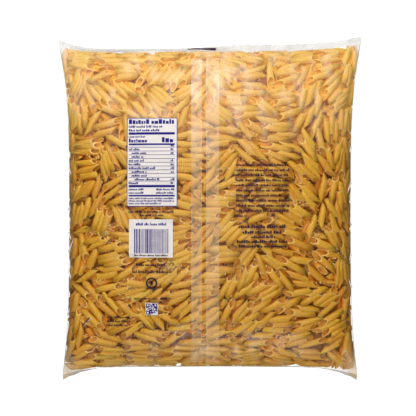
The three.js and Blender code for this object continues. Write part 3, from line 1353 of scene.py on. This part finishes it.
class Draping:
    """Finds the film's surface, and lays flat pieces on its back."""

    def __init__(self, film: Mesh) -> None:
        """Prepares the film's mesh for rays."""
        polygons = [tuple(p.vertices) for p in film.polygons]
        self.tree = BVHTree.FromPolygons([v.co for v in film.vertices], polygons)

    def height(self, x: float, y: float) -> float:
        """The film's height under a place, or beside it where there is no film."""
        hit = self.tree.ray_cast((x, y, SKY), (0, 0, -1))[0]
        return (hit or self.tree.find_nearest((x, y, 0.04))[0]).z

    def lay(self, verts: Iterable[bmesh.types.BMVert], lift: float, thick: float) -> None:
        """Bends unit slabs onto the film.

        Args:
            verts: The slabs' vertices, whose x and y are in place and whose z is 1 above and -1 below.
            lift: How far over the film.
            thick: How thick.
        """
        for vertex in verts:
            top = vertex.co.z > 0
            vertex.co.z = self.height(vertex.co.x, vertex.co.y) + lift + (thick if top else 0)


@dataclass
class Crumbs:
    """Chips of pasta that lie in the gaps, between the penne and the film. Each spot is a place, in
    millimetres, where chips have gathered, and their number."""

    surface: BVHTree
    draping: Draping
    count: int = 2900
    size: float = 1.6 * MM
    reach: tuple = (0.17, 0.2)
    spread: float = 7 * MM
    seed: int = 11
    spots: tuple = (
        (-139, -32, 160), (-50, -76, 180), (-105, -108, 180), (172, -66, 170), (145, -25, 90), (118, 12, 90)
    )

    def places(self) -> Array:
        """Chooses places: some all over the bag, and some near each spot.

        Returns:
            One row of x and y a place.
        """
        rng = np.random.default_rng(self.seed)
        spread = [rng.uniform(-np.array(self.reach), self.reach, (self.count, 2))]
        for x, y, count in self.spots:
            spread.append(rng.normal((x * MM, y * MM), self.spread, (count, 2)))
        return np.concatenate(spread)

    def build(self) -> Mesh:
        """Builds the chips that have room under the film.

        Returns:
            The mesh.
        """
        rng = np.random.default_rng(self.seed + 1)
        ball = bmesh.new()
        bmesh.ops.create_icosphere(ball, subdivisions=1, radius=1.0)
        shape = mesh_of(ball, "chip")
        round_points = read(shape.vertices, "co", 3)
        chips = []
        for x, y in self.places():
            radius = self.size * rng.uniform(0.45, 1.0)
            hit = self.surface.ray_cast((x, y, SKY), (0, 0, -1))[0]
            room = self.draping.height(x, y) - hit.z - 1.5 * radius if hit else -1
            if room < 0:
                continue
            stretched = round_points * (radius * rng.uniform((0.7, 0.5, 0.4), (1.6, 1.0, 0.8)))
            turn = np.array(Matrix.Rotation(rng.uniform(0, math.tau), 3, "Z"))
            centre = (x, y, hit.z + radius * 0.7 + room * rng.uniform(0, 0.6))
            chips.append(stretched @ turn.T + centre)
        mesh = join_copies("pasta_crumbs", shape, np.array(chips))
        mesh.update(calc_edges=True)
        bpy.data.meshes.remove(shape)
        return mesh


@dataclass
class PinchFolds:
    """Small pinched folds of film along the bag's sides, painted white as glints of the light that they
    catch. Each spot has a fold's side, its place along the bag and its length in millimetres, and the way
    that it points."""

    draping: Draping
    width: float = 1.7 * MM
    tip: float = 0.1 * MM
    inset: float = 0.8 * MM
    beside: float = 0.3
    edge_height: float = 0.037
    spots: tuple = (
        (-1, 148, 11, 1), (-1, 49, 10, -1), (-1, 1, 7, 1), (-1, -38, 9, -1), (-1, -50, 18, 1),
        (-1, -90, 11, -1), (-1, -139, 9, 1),
        (1, 78, 8, -1), (1, 27, 14, -1), (1, -20, 6, 1), (1, -67, 8, -1), (1, -101, 11, 1),
    )

    def edge(self, side: int, y: float) -> float:
        """Finds how far out the film's edge is at a place along the left, -1, or right side, 1."""
        return self.draping.tree.ray_cast((side * self.beside, y, self.edge_height), (-side, 0, 0))[0].x

    def build(self) -> Mesh:
        """Builds the folds.

        Returns:
            The mesh.
        """
        box = bmesh.new()
        for side, y, length, way in self.spots:
            start = Vector((0, (y - way * length / 2) * MM, 0))
            end = Vector((0, (y + way * length / 2) * MM, 0))
            start.x = self.edge(side, start.y) - side * self.inset
            end.x = self.edge(side, end.y) - side * length * 0.5 * MM
            for point in (start, end):
                point.z = self.draping.height(point.x, point.y) + self.width
            line = end - start
            made = bmesh.ops.create_cone(
                box, segments=6, radius1=self.width, radius2=self.tip, depth=line.length, cap_ends=True
            )["verts"]
            bmesh.ops.rotate(box, verts=made, matrix=line.to_track_quat("Z", "Y").to_matrix())
            bmesh.ops.translate(box, verts=made, vec=(start + end) / 2)
        return mesh_of(box, "painted_glint_folds")


@dataclass(frozen=True)
class Patch:
    """A rectangle on the bag, by its edges in millimetres from the middle."""

    left: float
    right: float
    top: float
    bottom: float

    def add_to(self, box: BMesh) -> list:
        """Adds the rectangle as a unit slab.

        Args:
            box: The mesh that it joins.

        Returns:
            The slab's vertices.
        """
        wide, tall = self.right - self.left, self.top - self.bottom
        columns, rows = (max(1, math.ceil(size / CELL)) for size in (wide, tall))
        made = bmesh.ops.create_grid(box, x_segments=columns, y_segments=rows, size=1.0)["verts"]
        verts = raise_slab(box, once(face for vertex in made for face in vertex.link_faces))
        bmesh.ops.scale(box, vec=(wide / 2 * MM, tall / 2 * MM, 1), verts=verts)
        centre = ((self.left + self.right) / 2 * MM, (self.top + self.bottom) / 2 * MM, 0)
        bmesh.ops.translate(box, verts=verts, vec=centre)
        return verts


@dataclass
class BackPrint:
    """The print on the back: a white panel and label, and dark rules, bars, strokes and marks that say
    nothing. Its places are in millimetres from the bag's middle."""

    draping: Draping
    seed: int = 5
    film_of_ink: float = 0.07 * MM
    panel_left: float = -106.6
    panel_right: float = -46.0
    white: list = field(default_factory=list)
    blue: list = field(default_factory=list)
    dark: list = field(default_factory=list)

    def __post_init__(self) -> None:
        """Lays everything out, with one run of random numbers."""
        self.rng = np.random.default_rng(self.seed)
        self.panel()
        self.label()
        self.notes()
        self.square()
        self.edge_mark()

    def rows(self, ink: list, *rows: tuple) -> None:
        """Fills rows, each by its ends, its middle, its height and how wide a stroke is for that height."""
        for left, right, middle, height, weight in rows:
            self.row(ink, left, right, middle, height, height * weight)

    def row(self, ink: list, x: float, right: float, middle: float, height: float, stroke: float) -> None:
        """Fills one row with short strokes, grouped as words are.

        Args:
            ink: The list that the strokes join.
            x: Where the row starts.
            right: Where it ends.
            middle: The row's own height on the bag.
            height: How tall its strokes are.
            stroke: How wide they are.
        """
        low = middle - height / 2
        while x < right:
            for _ in range(self.rng.integers(3, 9)):
                wide = stroke * self.rng.uniform(0.55, 1.15)
                if x + wide > right:
                    return
                tall = height * self.rng.choice([0.62, 0.62, 0.8, 1.0])
                ink.append(Patch(x, x + wide, low + tall, low))
                x += wide + height * 0.13
            x += height * 0.38

    def bars(self, left: float, right: float, *bars: tuple) -> None:
        """Adds plain blue bars, each by its middle and height."""
        self.blue += [Patch(left, right, y + height / 2, y - height / 2) for y, height in bars]

    def panel(self) -> None:
        """Lays out the white panel with its blue rules."""
        left, right, top, bottom, line = -108.5, -43.1, 117.7, 2.3, 0.7
        self.white.append(Patch(left, right, top, bottom))
        self.bars(left, right, (top, line), (bottom, line))
        self.blue += [Patch(x - line / 2, x + line / 2, top, bottom) for x in (left, right)]
        left, right = self.panel_left, self.panel_right
        self.bars(left, right, (97.6, 3.1), (83.4, 2.3), (28.5, 3.1), (16.0, 2.2))
        self.rows(
            self.blue,
            (left, right, 113.3, 6.2, 0.66),
            (left, -62.5, 106.8, 3.0, 0.6),
            (left, -65.1, 101.9, 3.2, 0.7),
            (left, -83.5, 93.4, 2.4, 0.6),
            (left, -82.2, 88.4, 5.0, 0.7),
            (-62.9, right, 89.2, 6.8, 0.7),
        )
        indents = (None, 0, 4, 4, 0, 0, 0, 4, 4, 8, 0)
        lengths = (0, 17, 22, 16, 22, 18, 35, 21, 21, 34, 15)
        no_share, first, pitch = (3, 8), 79.4, 4.93
        for number, (indent, length) in enumerate(zip(indents, lengths)):
            middle = first - pitch * (number - 1) - pitch / 2
            if indent is not None:
                self.rows(self.blue, (left + indent, left + indent + length, middle, 3.0, 0.68))
            if number < len(indents) - 1:
                self.bars(left, right, (first - pitch * number, 0.6))
            if number not in no_share:
                self.rows(self.blue, (right - 5.5, right, middle, 2.9, 0.68))
        for middle in (24.3, 19.9):
            self.rows(self.blue, (left, -86.0, middle, 2.7, 0.6), (-70.5, right, middle, 2.7, 0.6))
        for middle, end in ((12.6, right), (9.3, right), (5.9, -63.0)):
            self.rows(self.blue, (left, end, middle, 2.3, 0.62))

    def label(self) -> None:
        """Lays out the white label with plain bars."""
        self.white.append(Patch(-106.2, -48.4, -14.9, -64.9))
        self.rows(self.blue, (-97.0, -55.2, -21.2, 3.6, 0.55))
        x, right, top, bottom = -99.3, -55.6, -27.6, -59.6
        while x < right:
            wide = self.rng.choice([0.55, 0.55, 1.1, 1.65])
            self.blue.append(Patch(x, x + wide, top, bottom))
            x += wide + self.rng.choice([0.55, 0.8, 1.1])
        self.rows(self.dark, (-99.5, -55.0, -61.9, 2.6, 0.6))

    def notes(self) -> None:
        """Lays out the rows of strokes on the bare film, two blocks and the slanted mark at the left."""
        self.rows(
            self.dark,
            (-107.2, -46.7, -5.0, 2.6, 0.5),
            (-91.4, -59.8, -9.6, 2.6, 0.5),
            (-97.0, -56.5, -74.3, 3.4, 0.5),
            (-101.9, -51.3, -83.5, 3.6, 0.5),
            (-99.3, -67.7, -119.0, 2.4, 0.5),
        )
        self.dark += [Patch(-65.1, -55.9, -117.6, -120.4), Patch(-78.3, -74.7, -96.4, -101.2)]
        for step in range(9):
            x, y = -169.5 + 1.15 * step, -157.0 + 1.3 * step
            self.dark.append(Patch(x, x + 1.2, y + self.rng.uniform(0.9, 2.0), y))
            self.white.append(Patch(x + 1.1, x + 2.1, y + self.rng.uniform(0.2, 1.0), y - 0.6))
        left, first, pitch, count = 34.2, 56.4, 6.65, 10
        self.rows(self.dark, *((left, 103.9, first - pitch * number, 3.5, 0.5) for number in range(count)))
        self.rows(
            self.dark,
            (left, 48.0, first - pitch * count, 3.5, 0.5),
            (37.5, 99.9, -24.2, 4.6, 0.62),
            (42.7, 93.5, -31.6, 4.2, 0.62),
            (53.3, 85.6, -37.7, 3.6, 0.62),
            (34.8, 103.2, -43.8, 4.0, 0.62),
            (37.5, 100.6, -50.0, 3.8, 0.62),
            *((-136.1, -105.1, middle, 2.9, 0.5) for middle in (-144.2, -149.6, -154.8)),
        )

    def edge_mark(self) -> None:
        """Adds the dark bar at the top edge, which is thicker at its right end."""
        left, right, top, steps = -30.6, 8.2, 217.2, 6
        for number in range(steps):
            start = left + (right - left) * number / steps
            deep = 2.2 + 3.4 * max(0.0, number / steps - 0.35)
            self.dark.append(Patch(start, start + (right - left) / steps, top, top - deep))

    def square(self) -> None:
        """Lays out the small square of cells, with plain frames in three of its corners."""
        left, top, cells, size, rim, corner = -83.9, -125.6, 13, 14.6, 0.8, 4
        self.white.append(Patch(left - rim, left + size + rim, top + rim, top - size - rim))
        step = size / cells
        filled = self.rng.random((cells, cells)) < 0.5
        for row, column in ((0, 0), (0, cells - corner), (cells - corner, 0)):
            filled[row : row + corner, column : column + corner] = True
            filled[row + 1 : row + corner - 1, column + 1 : column + corner - 1] = False
        for row, column in zip(*np.nonzero(filled)):
            x, y = left + step * column, top - step * row
            self.blue.append(Patch(x, x + step, y, y - step))

    def ring(self, box: BMesh) -> None:
        """Adds a plain ring as a unit slab.

        Args:
            box: The mesh that it joins.
        """
        centre, outer, wide, steps = (-76.5 * MM, -98.8 * MM, 0.0), 7.6 * MM, 2.2 * MM, 48
        made = bmesh.ops.create_circle(box, cap_ends=False, radius=outer, segments=steps)["verts"]
        edges = once(edge for vertex in made for edge in vertex.link_edges)
        grown = bmesh.ops.extrude_edge_only(box, edges=edges)["geom"]
        inner = [item for item in grown if isinstance(item, bmesh.types.BMVert)]
        share = 1 - wide / outer
        bmesh.ops.scale(box, vec=(share, share, 1.0), verts=inner)
        verts = raise_slab(box, [item for item in grown if isinstance(item, bmesh.types.BMFace)])
        bmesh.ops.translate(box, verts=verts, vec=centre)

    def build(self, name: str, patches: Sequence[Patch], lift: float, ring: bool = False) -> Mesh:
        """Builds one ink.

        Args:
            name: The mesh's name.
            patches: Its rectangles.
            lift: How far it lies over the film.
            ring: Whether it has the ring.

        Returns:
            The mesh.
        """
        box = bmesh.new()
        if ring:
            self.ring(box)
        for patch in patches:
            patch.add_to(box)
        self.draping.lay(box.verts, lift, self.film_of_ink)
        return mesh_of(box, name, outward=True)


@dataclass
class BackSeam:
    """The back's lap seam: two frosted bands with a clear gap between them, each with a thicker lip at both
    edges. Its places are in millimetres."""

    draping: Draping
    bands: tuple = ((-24.3, -10.8), (-4.9, 11.7))
    top: float = 199.5
    bottom: float = -208.0
    lip: float = 0.7
    band_layer: tuple = (0.35 * MM, 0.12 * MM)
    lip_layer: tuple = (0.5 * MM, 0.08 * MM)
    slack_from: float = 60
    slack_over: float = 80

    def build(self) -> Mesh:
        """Builds the bands and then their lips, each at its own height over the film.

        Returns:
            The mesh, with a mark where its film is slack.
        """
        box = bmesh.new()
        lips = [(edge, edge + self.lip) for left, right in self.bands for edge in (left, right - self.lip)]
        for strips, layer in ((self.bands, self.band_layer), (lips, self.lip_layer)):
            for left, right in strips:
                self.draping.lay(Patch(left, right, self.top, self.bottom).add_to(box), *layer)
        mesh = mesh_of(box, "back_seam", outward=True)
        y = read(mesh.vertices, "co", 3)[:, 1] / MM
        # Where the seam is slack it is hazier, with the film's painted warm glare
        add_mark(mesh, "slack", ramp(y, self.slack_from, self.slack_over))
        return mesh


@dataclass
class PastaFill:
    """All the penne in the bag."""

    form: BagForm
    shell: float = 8.5 * MM
    outer_sides: int = 14
    inner_sides: int = 10

    def build(self) -> list:
        """Settles the heap and makes its meshes.

        Returns:
            Meshes of the pieces under the back, under the front and further in.
        """
        heap = PenneHeap(self.form, DepthField(self.form))
        heap.settle()
        maker = PenneMaker(heap)
        middle = heap.ends.mean(1)
        outer = heap.depth.at(middle)[0] < self.shell
        up = middle[:, 2] > self.form.side_height
        return [
            maker.build("penne_back", np.nonzero(outer & up)[0], self.outer_sides),
            maker.build("penne_front", np.nonzero(outer & ~up)[0], self.outer_sides),
            maker.build("penne_inner", np.nonzero(~outer)[0], self.inner_sides),
        ]

    def surface(self, meshes: Sequence[Mesh]) -> BVHTree:
        """Joins meshes for ray casts.

        Args:
            meshes: The meshes of the penne and the core, all of four-cornered faces.

        Returns:
            Their surface.
        """
        points: list = []
        faces: list = []
        for mesh in meshes:
            corner = read(mesh.loops, "vertex_index", 1, np.int32)
            faces.extend((corner + len(points)).reshape(-1, 4).tolist())
            points.extend(read(mesh.vertices, "co", 3).tolist())
        return BVHTree.FromPolygons(points, faces)


@dataclass
class Studio:
    """A pale floor, soft lights and a camera that looks straight down. The lights hold what light() takes."""

    view: View = View()
    sensor: float = 36.0
    floor_size: float = 4.0
    floor_drop: float = 0.3 * MM
    lights: tuple = (
        ("key", 50, -8, 1.0, (0.9, 0.7), 6.5),
        ("fill", 52, 176, 1.3, (0.8, 0.5), 3.3),
        ("top", 8, -60, 2.0, (1.6, 1.6), 14.0),
    )
    sky: float = 0.18

    def add(self, name: str, data: bpy.types.ID) -> bpy.types.Object:
        """Adds an object to the scene.

        Args:
            name: Its name.
            data: Its mesh, light or camera.

        Returns:
            The object.
        """
        made = bpy.data.objects.new(name, data)
        bpy.context.scene.collection.objects.link(made)
        return made

    def camera(self) -> None:
        """Sets the camera, so that the photo's frame spans the same width."""
        view = self.view
        data = bpy.data.cameras.new("camera")
        data.sensor_width = self.sensor
        data.lens = self.sensor * view.distance / (view.pixels * view.scale)
        camera = self.add("camera", data)
        offset_x = (view.pixels / 2 - view.middle_px[0]) * view.scale
        offset_y = (view.middle_px[1] - view.pixels / 2) * view.scale
        camera.location = (offset_x, offset_y, view.height)
        bpy.context.scene.camera = camera

    def light(self, name: str, tilt: float, turn: float, distance: float, size: tuple, power: float) -> None:
        """Adds a soft light aimed at the bag's middle.

        Args:
            name: Its name.
            tilt: Degrees from straight overhead.
            turn: Degrees round from +Y towards +X.
            distance: How far away.
            size: Its width and height.
            power: Its power in watts.
        """
        data = bpy.data.lights.new(name, "AREA")
        data.shape = "RECTANGLE"
        data.size, data.size_y = size
        data.energy = power
        lamp = self.add(name, data)
        away = Vector((0, math.sin(math.radians(tilt)), math.cos(math.radians(tilt))))
        away.rotate(Matrix.Rotation(-math.radians(turn), 3, "Z"))
        lamp.location = away * distance
        lamp.rotation_euler = away.to_track_quat("Z", "Y").to_euler()

    def floor(self) -> None:
        """Adds the floor."""
        sheet = bmesh.new()
        bmesh.ops.create_grid(sheet, x_segments=4, y_segments=4, size=self.floor_size)
        mesh = mesh_of(sheet, "floor")
        mesh.transform(Matrix.Translation((0, 0, -self.floor_drop)))
        mesh.materials.append(FloorFinish().make())
        floor = self.add("floor", mesh)
        floor.visible_diffuse = False
        floor.visible_glossy = False

    def build(self) -> None:
        """Sets the studio up."""
        self.camera()
        self.floor()
        for light in self.lights:
            self.light(*light)
        world = bpy.data.worlds.new("world")
        world.use_nodes = True
        inputs = world.node_tree.nodes["Background"].inputs
        inputs["Color"].default_value = WHITE
        inputs["Strength"].default_value = self.sky
        bpy.context.scene.world = world
        bpy.context.scene.view_settings.view_transform = "Standard"


def main() -> None:
    """Builds the packet and its studio."""
    logging.basicConfig(level=logging.INFO, format="%(message)s", stream=sys.stdout)
    form = BagForm()
    Studio().build()
    fill = PastaFill(form)
    meshes = fill.build()
    # The core: a dark mass of painted shade between the penne
    core = DeepCore(form).build()
    surface = fill.surface([*meshes, core])
    pasta = PastaFinish().make()
    for mesh in meshes:
        add_piece(mesh, pasta)
    add_piece(core, CoreFinish().make())
    film = add_piece(FilmSkin(form).build(surface), FilmFinish().make())
    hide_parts(BAG_NODE)
    draping = Draping(film.data)
    chips = PastaFinish("pasta_chip", dark=(0.92, 0.58, 0.16), light=(1.0, 0.76, 0.38))
    add_piece(Crumbs(surface, draping).build(), chips.make())
    frosted = FilmFinish(
        "frosted_seam",
        tone=(1.0, 0.81, 0.5),
        haze=0.118,
        edge=0.0,
        slack_haze=0.075,
        gloss=0.45,
        metal=0.0,
        crinkle=0.5,
    )
    seam = add_piece(BackSeam(draping).build(), frosted.make())
    # Painted glints: the folds get a white, nearly opaque finish that stands in for the light that they catch
    pinched = FilmFinish("painted_glint_film", tone=(0.98, 0.98, 0.97), haze=1.3, edge=0.0, gloss=0.3, metal=0.0)
    folds = add_piece(PinchFolds(draping).build(), pinched.make())
    for clear in (film, seam, folds):
        clear.visible_shadow = False
    prints = BackPrint(draping)
    white = InkFinish("white_print", (0.87, 0.81, 0.77), (0.80, 0.74, 0.69))
    blue = InkFinish("blue_print", (0.014, 0.010, 0.20), (0.025, 0.02, 0.26))
    dark = InkFinish("dark_print", (0.035, 0.012, 0.03), (0.07, 0.03, 0.04), 0.9)
    add_piece(prints.build("print_white", prints.white, 0.5 * MM), white.make())
    add_piece(prints.build("print_blue", prints.blue, 0.62 * MM), blue.make())
    add_piece(prints.build("print_dark", prints.dark, 0.72 * MM, ring=True), dark.make())


if __name__ == "__main__":
    main()
